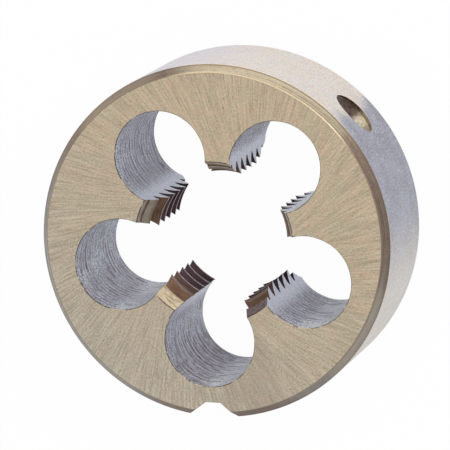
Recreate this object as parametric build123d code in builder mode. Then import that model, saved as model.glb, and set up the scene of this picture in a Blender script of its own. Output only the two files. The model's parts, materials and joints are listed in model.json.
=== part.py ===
from build123d import *
import os
from math import radians, tan

# Round threading die for M20 x 2.5 right-hand thread: one disc of tool steel,
# 45 mm across and 18 mm thick, of the closed (not split) kind.
#
# Frame: Z is the thread axis, and the face that meets the bar first looks up (+Z).
# The origin is on the axis, in the back face, and the notch in the rim points to -Y.
# Lengths are millimetres and angles are degrees, counted from +X towards +Y.

# Blank
outside_diameter = 45.0
thickness = 18.0
rim_chamfer = 0.85

# Thread
major_diameter = 20.0
pitch = 2.5
flank_angle = 60.0
crest_flat = 0.3
groove_height_at_x = 1.16

# Lead cone at each face, where the teeth grow to full height
entry_diameter = 20.5
lead_length = 4.0

# Chip holes, which leave the cutting lands between them
chip_hole_count = 5
chip_hole_diameter = 11.6
chip_hole_circle_diameter = 25.4
chip_hole_lag_angle = 2.1

# Rake faces of the lands, ground by a second pass of the same size nearer the axis
rake_grinding_shift = 0.15

# Notch for the stock's middle screw
notch_depth = 2.0
notch_floor = 1.9
notch_angle = 102.0
notch_direction_angle = -90.0

# Dimples for the stock's fixing screws, one each side of the notch's far end
dimple_diameter = 6.1
dimple_wall = 0.5
dimple_point_angle = 118.0
dimple_angle_from_notch = 135.0

# Worked out from the sizes above
rim_radius = outside_diameter / 2
major_radius = major_diameter / 2
entry_radius = entry_diameter / 2
flank_slope = tan(radians(flank_angle / 2))
groove_root_flat = pitch / 8
tooth_height = (pitch - groove_root_flat - crest_flat) / 2 / flank_slope
crest_radius = major_radius - tooth_height
cutter_mouth_width = pitch - crest_flat / 2
cutter_depth = (cutter_mouth_width - groove_root_flat) / 2 / flank_slope
turns_above = int((thickness - groove_height_at_x) / pitch) + 1
groove_heights = [groove_height_at_x + turn * pitch for turn in range(-2, turns_above)]
hole_circle_radii = [
    chip_hole_circle_diameter / 2,
    chip_hole_circle_diameter / 2 - rake_grinding_shift,
]
notch_outer_radius = rim_radius + notch_depth
notch_floor_radius = rim_radius - notch_depth
notch_half_mouth = notch_floor / 2 + 2 * notch_depth * tan(radians(notch_angle / 2))
dimple_point_depth = dimple_diameter / 2 / tan(radians(dimple_point_angle / 2))

# Cutter for one turn of the thread groove, a right-handed V with a narrow flat root
with BuildPart() as groove_turn:
    with BuildLine() as groove_path:
        Helix(pitch=pitch, height=pitch, radius=major_radius)
    groove_start = Plane(
        origin=groove_path.line @ 0,
        x_dir=(1, 0, 0),
        z_dir=groove_path.line % 0,
    )
    with BuildSketch(groove_start):
        with BuildLine():
            Polyline(
                (0, groove_root_flat / 2),
                (0, -groove_root_flat / 2),
                (-cutter_depth, -cutter_mouth_width / 2),
                (-cutter_depth, cutter_mouth_width / 2),
                close=True,
            )
        make_face()
    sweep(path=groove_path.line, is_frenet=True)

with BuildPart() as threading_die:
    # Turned disc with both corners of the rim broken
    Cylinder(rim_radius, thickness, align=(Align.CENTER, Align.CENTER, Align.MIN))
    chamfer(threading_die.edges().filter_by(GeomType.CIRCLE), rim_chamfer)

    # Bore at the diameter of the tooth crests, with a lead cone at each face
    with BuildSketch(Plane.XZ):
        with BuildLine():
            Polyline(
                (0, 0),
                (entry_radius, 0),
                (crest_radius, lead_length),
                (crest_radius, thickness - lead_length),
                (entry_radius, thickness),
                (0, thickness),
                close=True,
            )
        make_face()
    revolve(axis=Axis.Z, mode=Mode.SUBTRACT)

    # Chip holes, evenly spaced, the first one nearly in line with the notch, each with the
    # second pass that grinds the rake faces of the lands on its two sides
    with BuildSketch():
        for hole_circle_radius in hole_circle_radii:
            with PolarLocations(
                hole_circle_radius,
                chip_hole_count,
                start_angle=notch_direction_angle - chip_hole_lag_angle,
            ):
                Circle(chip_hole_diameter / 2)
    extrude(amount=thickness, mode=Mode.SUBTRACT)

    # Thread groove, turn upon turn, running out past both faces
    with Locations(*[(0, 0, height) for height in groove_heights]):
        add(groove_turn.part, mode=Mode.SUBTRACT)

    # Notch across the whole thickness, flat-bottomed and open to the rim
    with BuildSketch(Plane.XY.rotated((0, 0, notch_direction_angle))):
        with BuildLine():
            Polyline(
                (notch_floor_radius, -notch_floor / 2),
                (notch_outer_radius, -notch_half_mouth),
                (notch_outer_radius, notch_half_mouth),
                (notch_floor_radius, notch_floor / 2),
                close=True,
            )
        make_face()
    extrude(amount=thickness, mode=Mode.SUBTRACT)

    # Drilled dimples at mid thickness: a short straight wall and a drill point
    for side in (-1, 1):
        dimple_axis = Axis((0, 0, thickness / 2), (1, 0, 0)).direction.rotate(
            Axis.Z, notch_direction_angle + side * dimple_angle_from_notch
        )
        dimple_mouth = Plane(
            origin=dimple_axis * rim_radius + Vector(0, 0, thickness / 2),
            z_dir=-dimple_axis,
        )
        with Locations(dimple_mouth.location):
            Cylinder(dimple_diameter / 2, 2 * dimple_wall, mode=Mode.SUBTRACT)
        with Locations(dimple_mouth.offset(dimple_wall).location):
            Cone(
                dimple_diameter / 2,
                0,
                dimple_point_depth,
                align=(Align.CENTER, Align.CENTER, Align.MIN),
                mode=Mode.SUBTRACT,
            )

threading_die.part.label = "threading_die"

os.makedirs("parts", exist_ok=True)
export_step(threading_die.part, "parts/threading_die.step")
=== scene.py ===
import json
from math import cos, pi, radians, sin, tan

import bmesh
import bpy
from mathutils import Matrix, Vector


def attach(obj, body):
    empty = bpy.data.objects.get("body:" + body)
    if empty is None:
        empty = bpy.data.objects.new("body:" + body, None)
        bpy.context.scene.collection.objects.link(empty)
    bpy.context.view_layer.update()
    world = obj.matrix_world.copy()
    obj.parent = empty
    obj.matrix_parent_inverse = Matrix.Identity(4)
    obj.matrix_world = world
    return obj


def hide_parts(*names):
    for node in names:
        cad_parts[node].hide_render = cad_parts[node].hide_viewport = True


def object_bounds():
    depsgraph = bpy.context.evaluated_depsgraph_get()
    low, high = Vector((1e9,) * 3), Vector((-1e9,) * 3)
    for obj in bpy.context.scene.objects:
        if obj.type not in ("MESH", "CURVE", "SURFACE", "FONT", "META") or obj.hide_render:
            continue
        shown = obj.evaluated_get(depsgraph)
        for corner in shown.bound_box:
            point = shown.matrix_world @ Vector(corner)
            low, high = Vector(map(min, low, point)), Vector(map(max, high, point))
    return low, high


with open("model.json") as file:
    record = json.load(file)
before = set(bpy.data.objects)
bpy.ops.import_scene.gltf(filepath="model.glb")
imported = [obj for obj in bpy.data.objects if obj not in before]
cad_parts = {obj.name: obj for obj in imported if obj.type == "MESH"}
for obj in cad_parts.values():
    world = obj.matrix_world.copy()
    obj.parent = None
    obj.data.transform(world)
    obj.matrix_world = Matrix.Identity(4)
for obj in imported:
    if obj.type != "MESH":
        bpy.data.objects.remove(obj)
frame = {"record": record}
cad_low, cad_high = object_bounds()

# The blank: a disc sawn off a bar of tool steel and turned with a 45 degree chamfer at both
# corners of its rim. It is hardened whole, and then both faces and the rim are ground bright.
# Its shape is in metres, and the patterns of its finishes are in millimetres.
to_mm = 1000
mounts = {mount["name"]: mount for mount in frame["record"]["mounts"]}
rim_seat = mounts["rim_seat"]["dims"]
rim_radius = rim_seat["r_mm"] / to_mm
thickness = cad_high[2] - cad_low[2]
rim_chamfer = (thickness - rim_seat["length_mm"] / to_mm) / 2
chamfer_runout = 0.00012
chamfer_runout_angle = radians(210)
round_steps = 360


def colour(red, green, painted_blue_shade):
    """A screen colour, 0 to 255 a channel, as the linear colour a shader takes."""
    channels = [value / 255 for value in (red, green, painted_blue_shade)]
    return (*[c / 12.92 if c < 0.04045 else ((c + 0.055) / 1.055) ** 2.4 for c in channels], 1)


class Wire:
    """A socket of a material's nodes. Arithmetic on it adds Math nodes."""

    def __init__(self, tree, socket=None):
        self.tree = tree
        self.socket = socket

    def node(self, kind, settings, sockets, output=0):
        made = self.tree.nodes.new("ShaderNode" + kind)
        for name, value in settings.items():
            setattr(made, name, value)
        for name, value in sockets.items():
            if isinstance(value, Wire):
                self.tree.links.new(value.socket, made.inputs[name])
            else:
                made.inputs[name].default_value = value
        return Wire(self.tree, made.outputs[output]) if made.outputs else None

    def math(self, operation, *values):
        return self.node("Math", {"operation": operation}, dict(enumerate(values)))

    def __add__(self, other):
        return self.math("ADD", self, other)

    def __radd__(self, other):
        return self.math("ADD", other, self)

    def __sub__(self, other):
        return self.math("SUBTRACT", self, other)

    def __rsub__(self, other):
        return self.math("SUBTRACT", other, self)

    def __mul__(self, other):
        return self.math("MULTIPLY", self, other)

    def __rmul__(self, other):
        return self.math("MULTIPLY", other, self)

    def __truediv__(self, other):
        return self.math("DIVIDE", self, other)

    def __rtruediv__(self, other):
        return self.math("DIVIDE", other, self)

    def root(self):
        return self.math("SQRT", self)

    def cosine(self):
        return self.math("COSINE", self)

    def sine(self):
        return self.math("SINE", self)

    def between(self, low, high):
        """0 at low and 1 at high, with a smooth step from one to the other."""
        return self.node(
            "MapRange",
            {"interpolation_type": "SMOOTHSTEP"},
            {"Value": self, "From Min": low, "From Max": high},
        )

    def blend(self, first, second):
        """Colour mixed from first, where this is 0, to second, where it is 1."""
        return self.node("Mix", {"data_type": "RGBA"}, {0: self, 6: first, 7: second}, 2)

    def noise(self, x, y, z, detail=2.0, roughness=0.5):
        """Noise from 0 to 1 at a point given by three numbers or wires."""
        point = self.node("CombineXYZ", {}, {0: x, 1: y, 2: z})
        return self.node(
            "TexNoise",
            {},
            {"Vector": point, "Scale": 1.0, "Detail": detail, "Roughness": roughness},
        )

    def specks(self, x, y, z, size, share):
        """1 in round specks of this size, in the given share of cells one unit across."""
        point = self.node("CombineXYZ", {}, {0: x, 1: y, 2: z})
        distance = self.node("TexVoronoi", {}, {"Vector": point, "Scale": 1.0}, "Distance")
        drawn = self.node("TexVoronoi", {}, {"Vector": point, "Scale": 1.0}, "Color")
        lot = self.node("SeparateColor", {}, {"Color": drawn})
        return (1 - distance.between(size * 0.6, size)) * self.math("LESS_THAN", lot, share)

    def bump(self, height, depth):
        """A normal for a surface that stands up to depth metres proud where height is 1."""
        return self.node("Bump", {}, {"Strength": 1.0, "Distance": depth, "Height": height})


def new_finish(name):
    """A material with no nodes yet, the start of its wires, and the point in millimetres."""
    material = bpy.data.materials.new(name)
    material.use_nodes = True
    material.node_tree.nodes.clear()
    start = Wire(material.node_tree)
    place = start.node("TexCoord", {}, {}, "Object")
    point = [start.node("SeparateXYZ", {}, {"Vector": place}, axis) * to_mm for axis in range(3)]
    return material, start, point


def surface(start, sockets):
    """The steel's own shader, wired to the material's output."""
    shader = start.node("BsdfPrincipled", {}, sockets)
    start.node("OutputMaterial", {}, {"Surface": shader})


def polar(x, y):
    """Distance from the axis and angle about it, in radians."""
    return (x * x + y * y).root(), y.math("ARCTAN2", y, x)


# Ground face: straw-coloured, with the scratches of a cup wheel that all pass the axis at
# one distance, so that they fan out over the ring at a slant.
wheel_offset = 5.0
shaded_band_angle = radians(-75)
grey_sheen_from, grey_sheen_to = -14, 28
scratch_depth = 0.000005

ground_face, wire, (x, y, z) = new_finish("ground_face")
radius, angle = polar(x, y)
past_axis = wire.math("MINIMUM", wheel_offset / radius, 1.0)
scratch_angle = angle - past_axis.math("ARCCOSINE", past_axis)
across = scratch_angle.cosine()
along = scratch_angle.sine()
fine = wire.noise(across * 140, along * 140, radius * 0.3, 1.0)
middling = wire.noise(across * 45, along * 45, radius * 0.2, 2.0)
broad = wire.noise(across * 14, along * 14, radius * 0.1, 2.0)
deep = wire.noise(across * 85 + 9, along * 85, radius * 0.3, 1.0)
grain = wire.noise(x * 4.0, y * 4.0, z, 3.0, 0.8)
tint = wire.noise(x * 0.8, y * 0.8, z * 0.8, 4.0, 0.7)
spots = wire.specks(x * 0.9, y * 0.9, z + 0.5, size=0.13, share=0.12)
lines = fine * 0.36 + middling * 0.08 + grain * 0.56
shade = lines.between(0.34, 0.66)
tone = shade.blend(colour(139, 126, 106), colour(191, 177, 153))
tone = (broad.between(0.42, 0.6) * 0.14).blend(tone, colour(188, 160, 130))
tone = ((1 - broad.between(0.4, 0.5)) * 0.1).blend(tone, colour(156, 146, 122))
tone = (tint.between(0.5, 0.62) * 0.26).blend(tone, colour(190, 158, 136))
tone = ((1 - tint.between(0.4, 0.5)) * 0.2).blend(tone, colour(158, 154, 128))
# Painted sheen: the face is painted greyer towards the lower left, and darker as painted shade in
# a narrow band at -75 degrees.
greyer_sheen = (x * -0.5 - y).between(grey_sheen_from, grey_sheen_to) * 0.6
tone = greyer_sheen.blend(tone, shade.blend(colour(128, 122, 111), colour(178, 172, 160)))
shaded_band = (angle - shaded_band_angle).cosine().between(0.965, 0.995)
tone = (shaded_band * 0.3).blend(tone, colour(136, 124, 108))
tone = (deep.between(0.64, 0.72) * 0.2).blend(tone, colour(112, 97, 80))
tone = ((1 - deep.between(0.29, 0.36)) * 0.2).blend(tone, colour(214, 204, 184))
tone = (spots * 0.5).blend(tone, colour(106, 82, 60))
surface(
    wire,
    {
        "Base Color": tone,
        "Metallic": 0.85,
        "Roughness": 0.39 + fine * 0.08,
        "Normal": wire.bump(fine * 0.6 + grain * 0.4, scratch_depth),
    },
)

# Turned chamfer: left from the lathe, with its feed rings. Its colour round the disc is painted
# reflection: a straw-coloured painted highlight towards the top, painted brown shade either side
# of it, painted shade by the notch and two paler painted sheen bands. The corner next to the rim
# is darker, most under the straw highlight.
straw_light_angle = radians(72)
straw_light_reach = (0.8, 0.89)
pale_sheen_angles = (radians(126), radians(-30))
corner_reach = (0.3, 0.1)
feed_ring_depth = 0.00001

chamfer_turned, wire, (x, y, z) = new_finish("turned_chamfer")
radius, angle = polar(x, y)
rings = wire.noise((radius - z) * 5, angle * 1.5, 0.0, 2.0)
mottle = wire.noise(angle * 22, (radius - z) * 1.5, 0.0, 3.0, 0.6)
grain = wire.noise(x * 5, y * 5, z * 5, 2.0, 0.7)
round_from_straw = (angle - straw_light_angle).cosine()
# Painted light and shade round the ring: a straw highlight near 72 degrees, brown shade either
# side, darker shade by the notch.
painted_brown_shade = round_from_straw.between(-0.2, 0.4)
painted_straw_light = (round_from_straw + (mottle - 0.5) * 0.06).between(*straw_light_reach)
corner = radius.between(*[(rim_radius - part * rim_chamfer) * to_mm for part in corner_reach])
shaded_near_notch = (-1 * angle.sine()).between(0.82, 0.97)
shade = (rings * 0.5 + mottle * 0.2 + grain * 0.3).between(0.3, 0.7)
tone = shade.blend(colour(118, 112, 106), colour(168, 162, 154))
tone = shaded_near_notch.blend(tone, shade.blend(colour(98, 86, 78), colour(134, 120, 112)))
tone = painted_brown_shade.blend(tone, shade.blend(colour(112, 94, 84), colour(156, 138, 122)))
tone = painted_straw_light.blend(tone, shade.blend(colour(122, 110, 90), colour(176, 166, 146)))
# Paler painted sheen at 126 and -30 degrees.
pale_sheen = (angle - pale_sheen_angles[0]).cosine().between(0.94, 0.99)
pale_sheen = pale_sheen + (angle - pale_sheen_angles[1]).cosine().between(0.93, 0.99)
tone = (pale_sheen * 0.3).blend(tone, colour(206, 190, 168))
tone = (corner * (0.25 + painted_straw_light * 0.35)).blend(tone, colour(96, 80, 60))
surface(
    wire,
    {
        "Base Color": tone,
        "Metallic": 0.95,
        "Roughness": 0.26 + mottle * 0.1,
        "Normal": wire.bump(rings, feed_ring_depth),
    },
)

# Ground rim: bright and even from a centreless grinder, whose fine lines run round it, with
# painted light and shade round the disc: cream painted light towards the top, a blue-grey painted
# shade at the right, and a cool pale painted light at the upper left.
cream_light_angle = radians(66)
blue_shade_degrees = (-18, 15, 43, 50)
blue_shade_waver = 12
cool_light_angle = radians(150)
rim_line_depth = 0.000006

rim_ground, wire, (x, y, z) = new_finish("ground_rim")
radius, angle = polar(x, y)
cloud = wire.noise(x * 0.3, y * 0.3, z * 0.3, 3.0, 0.5)
blush = wire.noise(x * 0.35 + 5, y * 0.35, z * 0.5, 2.0)
grain = wire.noise(x * 5, y * 5, z * 2.4, 2.0, 0.7)
rings = wire.noise(angle * 8, z * 6, 0.0, 2.0, 0.7)
spots = wire.specks(angle * 10, z * 0.45, 0.5, size=0.09, share=0.25)
# Painted light and shade: cream light near 66 degrees, blue-grey shade from about -18 to 45
# degrees, cool pale light near 150 degrees.
degrees = angle * (180 / pi) + (cloud - 0.5) * blue_shade_waver
painted_cream_light = (angle - cream_light_angle).cosine().between(0.5, 0.97)
painted_blue_shade = degrees.between(*blue_shade_degrees[:2]) - degrees.between(*blue_shade_degrees[2:])
painted_cool_light = (angle - cool_light_angle).cosine().between(0.35, 0.7)
tone = cloud.between(0.35, 0.65).blend(colour(208, 202, 190), colour(216, 211, 203))
tone = (painted_cream_light * 0.75).blend(tone, colour(238, 227, 216))
tone = (painted_cool_light * 0.6).blend(tone, colour(212, 210, 226))
tone = (blush.between(0.45, 0.65) * 0.25).blend(tone, colour(236, 214, 194))
tone = ((1 - blush.between(0.35, 0.52)) * 0.22).blend(tone, colour(214, 218, 232))
blue_shade_tone = cloud.between(0.35, 0.65).blend(colour(128, 129, 150), colour(146, 153, 174))
tone = (painted_blue_shade * 0.88).blend(tone, blue_shade_tone)
tone = (grain.between(0.5, 0.62) * 0.32).blend(tone, colour(158, 154, 160))
tone = ((1 - grain.between(0.38, 0.5)) * 0.32).blend(tone, colour(238, 239, 242))
tone = (rings.between(0.54, 0.66) * 0.2).blend(tone, colour(150, 144, 148))
tone = (spots * 0.7).blend(tone, colour(96, 84, 76))
surface(
    wire,
    {
        "Base Color": tone,
        "Metallic": 0.8,
        "Roughness": 0.36 + grain * 0.1,
        "Normal": wire.bump(grain * 0.5 + rings * 0.5, rim_line_depth),
    },
)


def turned(name, profile, steps, finishes):
    """A closed turned shape from (radius, height) points, capped flat at its two ends."""
    vertices = []
    for radius, height in profile:
        for step in range(steps):
            angle = 2 * pi * step / steps
            vertices.append((radius * cos(angle), radius * sin(angle), height))
    faces = [list(reversed(range(steps)))]
    worn = [finishes[0]]
    for band in range(len(profile) - 1):
        for step in range(steps):
            following = (step + 1) % steps
            low = band * steps
            high = low + steps
            faces.append([low + step, low + following, high + following, high + step])
            worn.append(finishes[band + 1])
    faces.append([len(vertices) - steps + step for step in range(steps)])
    worn.append(finishes[-1])
    mesh = bpy.data.meshes.new(name)
    mesh.from_pydata(vertices, [], faces)
    kinds = list(dict.fromkeys(finishes))
    for kind in kinds:
        mesh.materials.append(kind)
    mesh.polygons.foreach_set("material_index", [kinds.index(finish) for finish in worn])
    made = bpy.data.objects.new(name, mesh)
    bpy.context.collection.objects.link(made)
    return made


die = turned(
    "threading_die_steel",
    [
        (rim_radius - rim_chamfer, 0),
        (rim_radius, rim_chamfer),
        (rim_radius, thickness - rim_chamfer),
        (rim_radius - rim_chamfer, thickness),
    ],
    round_steps,
    [ground_face, chamfer_turned, rim_ground, chamfer_turned, ground_face],
)
# The front chamfer was turned a hair off centre, so that its inner ring runs out.
runout = Matrix.Rotation(chamfer_runout_angle, 3, "Z") @ Vector((chamfer_runout, 0, 0))
for vertex in die.data.vertices[-round_steps:]:
    vertex.co += runout

# The bore: drilled at the diameter of the tooth crests, with a lead cone turned at each face
# so that the die starts on the bar from either side. The cones carry painted light: straw-coloured
# light on one land, plum painted shade on another, and a darker tone deeper in the bore.
major_radius = 0.010
pitch = 0.0025
crest_flat = 0.0003
groove_root_flat = pitch / 8
flank_angle = radians(60)
flank_slope = tan(flank_angle / 2)
crest_radius = major_radius - (pitch - groove_root_flat - crest_flat) / 2 / flank_slope
entry_radius = 0.01025
lead_length = 0.004
beyond = 0.001
cone_slope = (entry_radius - crest_radius) / lead_length
lit_straw_land_angle = radians(-128)
shaded_plum_land_angle = radians(-50)
darker_depths = (1.6, 2.8)
lathe_ring_depth = 0.00001


def below_face(z):
    """How deep this height is below the nearer face, in millimetres."""
    middle = thickness / 2 * to_mm
    return middle - z.math("ABSOLUTE", z - middle)


lead_turned, wire, (x, y, z) = new_finish("lead_cone")
radius, angle = polar(x, y)
rings = wire.noise(z * 3.0, angle * 3, 0.0, 3.0, 0.7)
fine = wire.noise(z * 6, angle * 14, 4.0, 3.0, 0.7)
stain = wire.noise(x * 0.9, y * 0.9, z * 0.9, 3.0)
brushed = fine.between(0.35, 0.65)
# Painted light and shade on the lands: straw-coloured light on the land at -128 degrees, plum
# shade on the land at -50 degrees.
painted_straw_light = (angle - lit_straw_land_angle).cosine().between(0.55, 0.95)
painted_plum_shade = (angle - shaded_plum_land_angle).cosine().between(0.55, 0.95)
tone = stain.between(0.3, 0.7).blend(colour(156, 144, 128), colour(186, 174, 156))
tone = painted_plum_shade.blend(tone, brushed.blend(colour(98, 82, 86), colour(140, 122, 122)))
tone = painted_straw_light.blend(tone, brushed.blend(colour(212, 188, 146), colour(252, 236, 208)))
tone = below_face(z).between(*darker_depths).blend(tone, colour(124, 104, 90))
tone = (rings.between(0.54, 0.64) * 0.6).blend(tone, colour(112, 92, 72))
tone = (fine.between(0.62, 0.7) * 0.7).blend(tone, colour(96, 76, 56))
surface(
    wire,
    {
        "Base Color": tone,
        "Metallic": 0.35,
        "Roughness": 0.45 + stain * 0.15,
        "Normal": wire.bump(rings, lathe_ring_depth),
    },
)

crest_turned, wire, (x, y, z) = new_finish("tooth_crest")
stain = wire.noise(x * 2, y * 2, z * 2, 3.0)
tone = stain.between(0.3, 0.7).blend(colour(118, 104, 108), colour(170, 158, 164))
surface(wire, {"Base Color": tone, "Metallic": 0.85, "Roughness": 0.25 + stain * 0.15})


def cut(body, cutter):
    """Cut one shape out of the body, and leave the cutter's finish on the new surface."""
    boolean = body.modifiers.new("cut", "BOOLEAN")
    boolean.operation = "DIFFERENCE"
    boolean.solver = "EXACT"
    boolean.material_mode = "TRANSFER"
    boolean.object = cutter
    depsgraph = bpy.context.evaluated_depsgraph_get()
    mesh = bpy.data.meshes.new_from_object(body.evaluated_get(depsgraph))
    body.modifiers.clear()
    body.data = mesh
    bpy.data.objects.remove(cutter)


cut(
    die,
    turned(
        "bore_cutter",
        [
            (entry_radius + beyond * cone_slope, -beyond),
            (crest_radius, lead_length),
            (crest_radius, thickness - lead_length),
            (entry_radius + beyond * cone_slope, thickness + beyond),
        ],
        round_steps,
        [lead_turned, lead_turned, crest_turned, lead_turned, lead_turned],
    ),
)

# Chip holes: five through holes on one circle, drilled and reamed before hardening. They
# break into the bore and leave the lands, whose rake faces are ground a little further in
# and lapped smooth beside the teeth.
chip_hole_count = 5
chip_hole_radius = 0.0058
chip_hole_circle_radius = 0.0127
first_chip_hole_angle = radians(-92.1)
rake_grinding_shift = 0.00015
hole_spacing = 2 * pi / chip_hole_count
hole_sides = 160
lapped_from, lapped_to = 10.4, 12.8
reamer_feed = 1.1
ridge_offset = 0.24
hole_noise_step = 7.3
pitted_depth = 8
lit_wall_angle = radians(290)
shaded_wall_angle = radians(232)
shaded_hole_angle = radians(-97)
tear_depth = 0.00001


def about_hole(radius, angle):
    """For a point about the axis: its hole's number, and its angle about that hole, first
    from the hole's own outward direction and then from +X."""
    turned_back = (angle - (first_chip_hole_angle - hole_spacing / 2)) / hole_spacing
    number = turned_back.math("FLOOR", turned_back)
    within = (turned_back - number - 0.5) * hole_spacing
    hole_x = radius * within.cosine() - chip_hole_circle_radius * to_mm
    hole_y = radius * within.sine()
    wall_angle = hole_y.math("ARCTAN2", hole_y, hole_x)
    return number, wall_angle, wall_angle + number * hole_spacing + first_chip_hole_angle


hole_reamed, wire, (x, y, z) = new_finish("reamed_hole")
radius, angle = polar(x, y)
hole_number, wall_angle, facing = about_hole(radius, angle)
shift = hole_number * hole_noise_step
arc = wall_angle * (chip_hole_radius * to_mm)
waver = wire.noise(arc * 0.12 + shift, z * 0.35, shift, 1.0)
torn = wire.noise(arc * 0.8 + shift, z * 0.9, shift + 9, 1.0)
drag = wire.noise(arc * 0.35 + shift, (z + wall_angle * 0.2) * 1.9, shift + 12, 1.0)
grit = wire.noise(arc * 5.5, z * 2.8, shift, 2.0, 0.7)
patch = wire.noise(arc * 0.25 + shift, z * 0.14, shift + 3, 3.0, 0.6)
stain = wire.noise(arc * 0.5 + shift, z * 0.3, shift + 6, 3.0)
pits = wire.noise(arc * 4.2, z * 2.4, shift, 1.0)
rough_wall = radius.between(lapped_from, lapped_to)
lapped = 1 - rough_wall
near_front = z.between(thickness * to_mm - pitted_depth, thickness * to_mm)
roughest = patch.between(0.36, 0.54) * rough_wall
# Painted light and shade on the walls: pale where a wall faces 290 degrees, as if lit, darker
# where it faces 232 degrees, and darker painted shade streaks in the hole at -97 degrees.
painted_lit_side = (facing - lit_wall_angle).cosine().between(0.8, 0.97)
painted_shaded_side = (facing - shaded_wall_angle).cosine().between(0.85, 0.98)
shaded_hole = (angle - shaded_hole_angle).cosine().between(0.85, 0.93)
painted_shade_streaks = shaded_hole * (facing - shaded_wall_angle).cosine().between(0.6, 0.95) * rough_wall
turn = z / reamer_feed + wall_angle * (0.5 / pi) + waver * 1.2
line = 1 - turn.math("PINGPONG", turn, 0.5).between(0.05, 0.15)
ridge = 1 - turn.math("PINGPONG", turn + ridge_offset, 0.5).between(0.04, 0.12)
scored = drag.math("MAXIMUM", line * torn.between(0.45, 0.52), drag.between(0.62, 0.67) * 0.7)
tone = grit.between(0.38, 0.62).blend(colour(240, 249, 255), colour(162, 164, 180))
tone = (stain.between(0.45, 0.6) * 0.35).blend(tone, colour(196, 188, 194))
tone = (roughest * 0.3).blend(tone, colour(172, 162, 184))
tone = (painted_lit_side * 0.5).blend(tone, colour(250, 253, 255))
tone = (painted_shaded_side * rough_wall * 0.35).blend(tone, colour(156, 146, 158))
tone = (painted_shade_streaks * (0.12 + torn.between(0.4, 0.56) * 0.35)).blend(tone, colour(104, 88, 98))
tone = (ridge * roughest * 0.7).blend(tone, colour(252, 254, 255))
tone = (scored * (0.25 + roughest * 0.6)).blend(tone, colour(72, 50, 76))
pitted = pits.between(0.6, 0.65) * (0.2 + near_front * 0.8) * rough_wall
tone = (pitted * 0.85).blend(tone, colour(54, 40, 44))
tone = (lapped * 0.6).blend(tone, colour(206, 210, 228))
surface(
    wire,
    {
        "Base Color": tone,
        "Metallic": 0.45 + lapped * 0.35,
        "Roughness": 0.42 + grit * 0.2 - lapped * 0.2,
        "Normal": wire.bump(grit * 0.4 - scored * 0.6, tear_depth),
    },
)


def tree_with(name, inputs):
    """An empty Geometry Nodes tree with named inputs, and those inputs' sockets."""
    tree = bpy.data.node_groups.new(name, "GeometryNodeTree")
    tree.interface.new_socket("Geometry", in_out="OUTPUT", socket_type="NodeSocketGeometry")
    for label, kind in inputs.items():
        tree.interface.new_socket(label, in_out="INPUT", socket_type="NodeSocket" + kind)
    return tree, tree.nodes.new("NodeGroupInput").outputs


def grow(tree, kind, settings, sockets):
    """One node of the tree: its settings first, then a value or a link for each input."""
    node = tree.nodes.new(kind)
    for name, value in settings.items():
        setattr(node, name, value)
    for name, value in sockets.items():
        if isinstance(value, bpy.types.NodeSocket):
            tree.links.new(value, node.inputs[name])
        else:
            node.inputs[name].default_value = value
    return node.outputs[0]


def finished(tree, geometry, finish):
    """End the tree in plain geometry that carries its finish."""
    whole = grow(tree, "GeometryNodeRealizeInstances", {}, {"Geometry": geometry})
    whole = grow(tree, "GeometryNodeSetMaterial", {}, {"Geometry": whole, "Material": finish})
    tree.links.new(whole, tree.nodes.new("NodeGroupOutput").inputs[0])


def made_by(tree, name, values):
    """An object with the plain mesh that the tree makes from these values."""
    made = bpy.data.objects.new(name, bpy.data.meshes.new(name))
    bpy.context.collection.objects.link(made)
    modifier = made.modifiers.new(name, "NODES")
    modifier.node_group = tree
    for socket in tree.interface.items_tree:
        if socket.in_out == "INPUT":
            modifier[socket.identifier] = values[socket.name]
    depsgraph = bpy.context.evaluated_depsgraph_get()
    mesh = bpy.data.meshes.new_from_object(made.evaluated_get(depsgraph))
    made.modifiers.clear()
    made.data = mesh
    return made


drilling, given = tree_with(
    "chip_hole_drilling",
    {
        "Holes": "Int",
        "Spacing": "Float",
        "First Hole": "Float",
        "Hole Radius": "Float",
        "Depth": "Float",
        "Rake Shift": "Vector",
        "Place": "Vector",
        "Finish": "Material",
    },
)
drill = grow(
    drilling,
    "GeometryNodeMeshCylinder",
    {},
    {"Vertices": hole_sides, "Radius": given["Hole Radius"], "Depth": given["Depth"]},
)
spot = grow(drilling, "GeometryNodeInputPosition", {}, {})
outward = grow(drilling, "ShaderNodeSeparateXYZ", {}, {"Vector": spot})
inner = grow(drilling, "FunctionNodeCompare", {"operation": "LESS_THAN"}, {"A": outward, "B": 0.0})
drill = grow(
    drilling,
    "GeometryNodeSetPosition",
    {},
    {"Geometry": drill, "Selection": inner, "Offset": given["Rake Shift"]},
)
drill = grow(
    drilling,
    "GeometryNodeTransform",
    {},
    {"Geometry": drill, "Translation": given["Place"]},
)
number = grow(drilling, "GeometryNodeInputIndex", {}, {})
turn = grow(
    drilling,
    "ShaderNodeMath",
    {"operation": "MULTIPLY_ADD"},
    {0: number, 1: given["Spacing"], 2: given["First Hole"]},
)
turn = grow(drilling, "ShaderNodeCombineXYZ", {}, {"Z": turn})
axes = grow(drilling, "GeometryNodePoints", {}, {"Count": given["Holes"]})
holes = grow(
    drilling,
    "GeometryNodeInstanceOnPoints",
    {},
    {"Points": axes, "Instance": drill, "Rotation": turn},
)
finished(drilling, holes, given["Finish"])
cut(
    die,
    made_by(
        drilling,
        "chip_hole_cutter",
        {
            "Holes": chip_hole_count,
            "Spacing": hole_spacing,
            "First Hole": first_chip_hole_angle,
            "Hole Radius": chip_hole_radius,
            "Depth": thickness + 2 * beyond,
            "Rake Shift": (-rake_grinding_shift, 0.0, 0.0),
            "Place": (chip_hole_circle_radius, 0.0, thickness / 2),
            "Finish": hole_reamed,
        },
    ),
)

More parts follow.
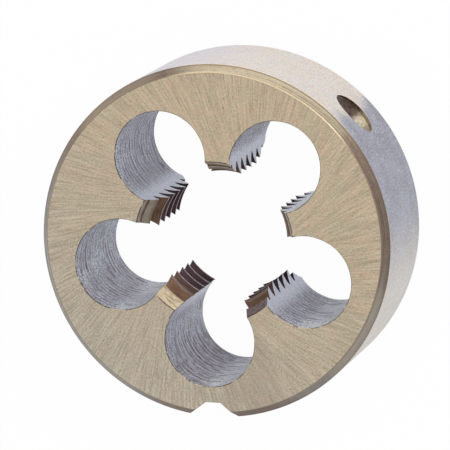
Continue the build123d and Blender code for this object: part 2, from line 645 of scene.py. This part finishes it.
# Thread: one V groove with a narrow flat root, cut right-handed along the whole bore. What it
# leaves on the lands are the cutting teeth, whose flanks keep the brown of the hardening bath,
# deepened by painted shade of the groove, and are painted darker as shade towards the middle of
# the bore.
groove_height_at_x = 0.00116
groove_mouth = pitch - crest_flat / 2
groove_depth = (groove_mouth - groove_root_flat) / 2 / flank_slope
turns_below = 2
turns = 10
steps_per_turn = 144
bronze_to_shade_depths = (9, 2)
flank_drag_depth = 0.00001

flank_oxide_and_shade, wire, (x, y, z) = new_finish("tooth_flank")
stain = wire.noise(x * 1.2, y * 1.2, z * 1.2, 3.0)
drag = wire.noise(z * 10, x * 0.6, y * 0.6, 2.0)
# Painted shade: the flanks turn from bronze near the front face to a dark purple-brown deeper in
# the bore.
near_front = z.between(*[thickness * to_mm - depth for depth in bronze_to_shade_depths])
shade = (stain * 0.5 + drag * 0.5).between(0.3, 0.7)
tone = shade.blend(colour(44, 30, 38), colour(72, 52, 56))
tone = near_front.blend(tone, shade.blend(colour(88, 64, 49), colour(122, 92, 70)))
surface(
    wire,
    {
        "Base Color": tone,
        "Metallic": 0.7,
        "Roughness": 0.35 + stain * 0.2,
        "Normal": wire.bump(drag, flank_drag_depth),
    },
)
threading, given = tree_with(
    "thread_groove",
    {
        "Turns": "Float",
        "Climb": "Float",
        "Middle Radius": "Float",
        "Root Flat": "Float",
        "Mouth": "Float",
        "Depth": "Float",
        "Start": "Vector",
        "Finish": "Material",
    },
)
helix = grow(
    threading,
    "GeometryNodeCurveSpiral",
    {},
    {
        "Resolution": steps_per_turn,
        "Rotations": given["Turns"],
        "Start Radius": given["Middle Radius"],
        "End Radius": given["Middle Radius"],
        "Height": given["Climb"],
        "Reverse": True,
    },
)
helix = grow(threading, "GeometryNodeSetCurveNormal", {"mode": "Z_UP"}, {"Curve": helix})
section = grow(
    threading,
    "GeometryNodeCurvePrimitiveQuadrilateral",
    {"mode": "TRAPEZOID"},
    {
        "Height": given["Depth"],
        "Bottom Width": given["Root Flat"],
        "Top Width": given["Mouth"],
        "Offset": 0.0,
    },
)
section = grow(
    threading,
    "GeometryNodeTransform",
    {},
    {"Geometry": section, "Rotation": (0.0, 0.0, pi / 2)},
)
groove = grow(
    threading,
    "GeometryNodeCurveToMesh",
    {},
    {"Curve": helix, "Profile Curve": section, "Fill Caps": True},
)
groove = grow(
    threading,
    "GeometryNodeTransform",
    {},
    {"Geometry": groove, "Translation": given["Start"]},
)
finished(threading, groove, given["Finish"])
cut(
    die,
    made_by(
        threading,
        "groove_cutter",
        {
            "Turns": float(turns),
            "Climb": turns * pitch,
            "Middle Radius": major_radius - groove_depth / 2,
            "Root Flat": groove_root_flat,
            "Mouth": groove_mouth,
            "Depth": groove_depth,
            "Start": (0.0, 0.0, groove_height_at_x - turns_below * pitch),
            "Finish": flank_oxide_and_shade,
        },
    ),
)

# Notch: a flat-bottomed V milled across the rim, where the stock's middle screw holds the
# die from turning. The cutter's strokes show in the steel of its floor and its two sides.
notch_floor = 0.0019
notch_depth = 0.002
notch_angle = radians(102)
notch_half_mouth = notch_floor / 2 + 2 * notch_depth * tan(notch_angle / 2)
stroke_depth = 0.00001

notch_milled, wire, (x, y, z) = new_finish("milled_notch")
stroke = wire.noise(x * 14, z * 1.2, y * 14, 2.0)
tone = stroke.between(0.3, 0.7).blend(colour(130, 119, 105), colour(168, 158, 142))
surface(
    wire,
    {
        "Base Color": tone,
        "Metallic": 0.85,
        "Roughness": 0.32 + stroke * 0.15,
        "Normal": wire.bump(stroke, stroke_depth),
    },
)
notch_mesh = bmesh.new()
outline = [
    (-notch_floor / 2, notch_depth - rim_radius),
    (-notch_half_mouth, -notch_depth - rim_radius),
    (notch_half_mouth, -notch_depth - rim_radius),
    (notch_floor / 2, notch_depth - rim_radius),
]
foot = notch_mesh.faces.new([notch_mesh.verts.new((*corner, -beyond)) for corner in outline])
raised = bmesh.ops.extrude_face_region(notch_mesh, geom=[foot])["geom"]
corners = [item for item in raised if isinstance(item, bmesh.types.BMVert)]
bmesh.ops.translate(notch_mesh, verts=corners, vec=(0, 0, thickness + 2 * beyond))
bmesh.ops.recalc_face_normals(notch_mesh, faces=notch_mesh.faces)
notch_cutter = bpy.data.objects.new("notch_cutter", bpy.data.meshes.new("notch_cutter"))
notch_mesh.to_mesh(notch_cutter.data)
notch_mesh.free()
notch_cutter.data.materials.append(notch_milled)
bpy.context.collection.objects.link(notch_cutter)
cut(die, notch_cutter)

# Dimples: two shallow drilled seats in the rim, with a short straight wall and a drill point,
# for the stock's fixing screws. They were drilled before hardening. Inside, they are painted dark
# as shade, and the side towards the notch carries a painted golden reflection that turns
# brown-grey at its end.
dimple_radius = 0.00305
dimple_wall = 0.0005
dimple_point_angle = radians(118)
dimple_point = dimple_radius / tan(dimple_point_angle / 2)
dimple_tip_radius = dimple_radius / 1000
dimple_angles = [radians(45), radians(135)]
dimple_sides = 96
drill_ring_depth = 0.00001

dimple_drilled, wire, (x, y, z) = new_finish("drilled_dimple")
past_middle = y * cos(dimple_angles[0]) - wire.math("ABSOLUTE", x) * sin(dimple_angles[0])
rings = wire.noise(x * 3, y * 3, z * 0.6, 2.0)
stain = wire.noise(x * 1.2, y * 1.2, z * 1.2, 3.0, 0.6)
# Painted reflection: golden on the side towards the notch, brown-grey at its far end, and dark
# painted shade on the rest.
painted_golden_reflection = 1 - (past_middle + (stain - 0.5) * 1.5).between(-0.9, 0.2)
end = (past_middle * -1).between(1.7, 2.5)
tone = stain.between(0.35, 0.65).blend(colour(68, 52, 50), colour(108, 86, 76))
golden_reflection_tone = rings.between(0.35, 0.65).blend(colour(188, 175, 148), colour(218, 208, 184))
tone = painted_golden_reflection.blend(tone, golden_reflection_tone)
tone = (end * 0.75).blend(tone, colour(138, 120, 100))
surface(
    wire,
    {
        "Base Color": tone,
        "Metallic": 0.7,
        "Roughness": 0.3 + stain * 0.2,
        "Normal": wire.bump(rings, drill_ring_depth),
    },
)
for dimple_angle in dimple_angles:
    dimple_cutter = turned(
        "dimple_cutter",
        [
            (dimple_tip_radius, -dimple_wall - dimple_point),
            (dimple_radius, -dimple_wall),
            (dimple_radius, dimple_radius),
        ],
        dimple_sides,
        [dimple_drilled] * 4,
    )
    outward = Matrix.Rotation(dimple_angle, 4, "Z") @ Matrix.Rotation(pi / 2, 4, "Y")
    from_middle = Matrix.Translation((0, 0, thickness / 2)) @ outward
    dimple_cutter.data.transform(from_middle @ Matrix.Translation((0, 0, rim_radius)))
    cut(die, dimple_cutter)

# The finished die: the grinder and the hone leave a hair-fine broken edge all round, with random
# wear and painted highlights on it, and the five lands stay joined in one piece of steel.
edge_break = 0.00007
rim_edge_share = 0.6
tooth_edge_share = 0.35
sharp_angle = radians(28)
merge_distance = 0.000004
edge_depths = (0.2, 0.4)
past_holes_radii = (19.8, 20.2)
outer_radii = (22.1, 22.3)
highlight_wall_angle = radians(245)

edge_wear_and_highlight, wire, (x, y, z) = new_finish("worn_and_highlighted_edge")
radius, angle = polar(x, y)
wear = wire.noise(x * 0.7, y * 0.7, z * 0.7, 4.0, 0.65)
facing = about_hole(radius, angle)[-1]
highlight_side = (facing - highlight_wall_angle).cosine().between(0.7, 0.95) * 0.08
below = below_face(z).between(*edge_depths)
past_holes = radius.between(*past_holes_radii)
painted_straw_light = (angle - straw_light_angle).cosine().between(*straw_light_reach)
tooth_tone = wear.between(0.35, 0.65).blend(colour(150, 138, 140), colour(190, 178, 176))
# Painted highlights: the hole edges are dark brown with golden painted highlights in stretches, a
# few more where they face 245 degrees.
hole_tone = (wear + highlight_side).between(0.56, 0.64).blend(colour(66, 48, 38), colour(214, 196, 162))
# Painted highlights in the straw light: the chamfer's inner edge turns pale straw and the rim's
# edges cream.
ring_tone = painted_straw_light.blend(colour(142, 124, 104), colour(226, 206, 170))
rim_tone = painted_straw_light.blend(colour(150, 128, 116), colour(240, 222, 200))
side_tone = radius.between(*outer_radii).blend(colour(104, 84, 70), rim_tone)
tone = below.blend(
    past_holes.blend(hole_tone, ring_tone),
    past_holes.blend(tooth_tone, side_tone),
)
surface(wire, {"Base Color": tone, "Metallic": 0.7, "Roughness": 0.35})
shell = bmesh.new()
shell.from_mesh(die.data)
bmesh.ops.remove_doubles(shell, verts=shell.verts, dist=merge_distance)
bmesh.ops.dissolve_degenerate(shell, edges=shell.edges, dist=merge_distance)
breaks = shell.edges.layers.float.new("bevel_weight_edge")
for edge in shell.edges:
    if edge.is_manifold and edge.calc_face_angle() > sharp_angle:
        middle = (edge.verts[0].co + edge.verts[1].co) / 2
        on_face = min(middle.z, thickness - middle.z) < edge_break
        on_rim = middle.xy.length > rim_radius - rim_chamfer
        if on_rim:
            edge[breaks] = rim_edge_share
        else:
            edge[breaks] = 1.0 if on_face else tooth_edge_share
shell.to_mesh(die.data)
shell.free()
die.data.materials.append(edge_wear_and_highlight)
bevel = die.modifiers.new("broken_edges", "BEVEL")
bevel.width = edge_break
bevel.segments = 1
bevel.limit_method = "WEIGHT"
bevel.material = len(die.data.materials) - 1
bevel.use_clamp_overlap = False
bevel.harden_normals = True
die.data.shade_smooth()
depsgraph = bpy.context.evaluated_depsgraph_get()
mesh = bpy.data.meshes.new_from_object(die.evaluated_get(depsgraph))
die.modifiers.clear()
for vertex in mesh.vertices:
    vertex.co.z = min(max(vertex.co.z, 0), thickness)
die.data = mesh
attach(die, "root")
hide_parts("threading_die")

# Floor: a pale studio sweep that the die lies on. Seen by the camera or in the steel it is
# almost white, and it keeps a soft shadow under the die. A hair's gap parts the two.
floor_size = 3.0
floor_gap = 0.00002
white_to_camera = 0.97
white_in_steel = 0.6

floor_mesh = bpy.data.meshes.new("studio_floor")
half = floor_size / 2
floor_mesh.from_pydata(
    [(-half, -half, 0), (half, -half, 0), (half, half, 0), (-half, half, 0)],
    [],
    [(0, 1, 2, 3)],
)
floor = bpy.data.objects.new("studio_floor", floor_mesh)
floor.location.z = -floor_gap
bpy.context.collection.objects.link(floor)
floor_paper, wire = new_finish("floor_paper")[:2]
seen = wire.node("LightPath", {}, {}, "Is Camera Ray")
mirrored = wire.node("LightPath", {}, {}, "Is Glossy Ray")
white = wire.node("Emission", {}, {"Color": (1, 1, 1, 1), "Strength": 1.0})
paper = wire.node("BsdfDiffuse", {}, {"Color": colour(238, 238, 238)})
shown = seen * white_to_camera + mirrored * white_in_steel
lit = wire.node("MixShader", {}, {0: shown, 1: paper, 2: white})
wire.node("OutputMaterial", {}, {"Surface": lit})
floor_mesh.materials.append(floor_paper)

# Studio light: a soft white room, one large soft lamp overhead, a smaller one to the right
# that reaches into the bore, and a low warm one beyond the top of the disc.
white_room_in_steel = 0.2

world = bpy.data.worlds.new("studio_room")
bpy.context.scene.world = world
world.use_nodes = True
world.node_tree.nodes.clear()
wire = Wire(world.node_tree)
seen = wire.node("LightPath", {}, {}, "Is Camera Ray")
mirrored = wire.node("LightPath", {}, {}, "Is Glossy Ray")
room = wire.node("Background", {}, {"Color": colour(206, 208, 212), "Strength": 1.0})
backdrop = wire.node("Background", {}, {"Color": (1, 1, 1, 1), "Strength": 1.0})
shown = seen + mirrored * white_room_in_steel
lit = wire.node("MixShader", {}, {0: shown, 1: room, 2: backdrop})
wire.node("OutputWorld", {}, {"Surface": lit})


def soft_lamp(name, width, height, glow, place, tint):
    """A flat area lamp that faces the middle of the die and looks as bright as glow."""
    lamp = bpy.data.lights.new(name, "AREA")
    lamp.shape = "RECTANGLE"
    lamp.size = width
    lamp.size_y = height
    lamp.energy = glow * pi * width * height
    lamp.color = tint
    made = bpy.data.objects.new(name, lamp)
    toward_die = Vector((0, 0, thickness / 2)) - Vector(place)
    aimed = toward_die.to_track_quat("-Z", "Y").to_matrix().to_4x4()
    made.matrix_world = Matrix.Translation(place) @ aimed
    bpy.context.collection.objects.link(made)


soft_lamp(
    "overhead_lamp",
    width=0.5,
    height=0.5,
    glow=0.9,
    place=(-0.17, -0.13, 0.62),
    tint=(1.0, 0.98, 0.95),
)
soft_lamp(
    "side_lamp",
    width=0.3,
    height=0.3,
    glow=3.5,
    place=(0.325, 0.273, 0.50),
    tint=(1.0, 0.96, 0.9),
)
soft_lamp(
    "far_lamp",
    width=0.9,
    height=0.24,
    glow=1.9,
    place=(0.108, 0.611, 0.16),
    tint=(1.0, 0.96, 0.91),
)

# Camera: a long lens high above the front face, turned so that the notch is at the bottom and
# a dimple shows at the upper right. The lens and the film are in millimetres.
focal_length = 352.97
film_width = 36
camera_distance = 0.56038
camera_azimuth = radians(126.80)
camera_elevation = radians(71.49)
camera_roll = radians(-125.07)
aim_point = Vector((-0.000935, 0.000554, thickness / 2))

camera_data = bpy.data.cameras.new("camera")
camera_data.lens = focal_length
camera_data.sensor_width = film_width
camera = bpy.data.objects.new("camera", camera_data)
bpy.context.collection.objects.link(camera)
backward = Vector(
    (
        sin(camera_azimuth) * cos(camera_elevation),
        -cos(camera_azimuth) * cos(camera_elevation),
        sin(camera_elevation),
    )
)
upright = backward.to_track_quat("Z", "Y").to_matrix().to_4x4()
rolled = upright @ Matrix.Rotation(camera_roll, 4, "Z")
camera.matrix_world = Matrix.Translation(aim_point + backward * camera_distance) @ rolled
bpy.context.scene.camera = camera
bpy.context.scene.view_settings.view_transform = "Standard"
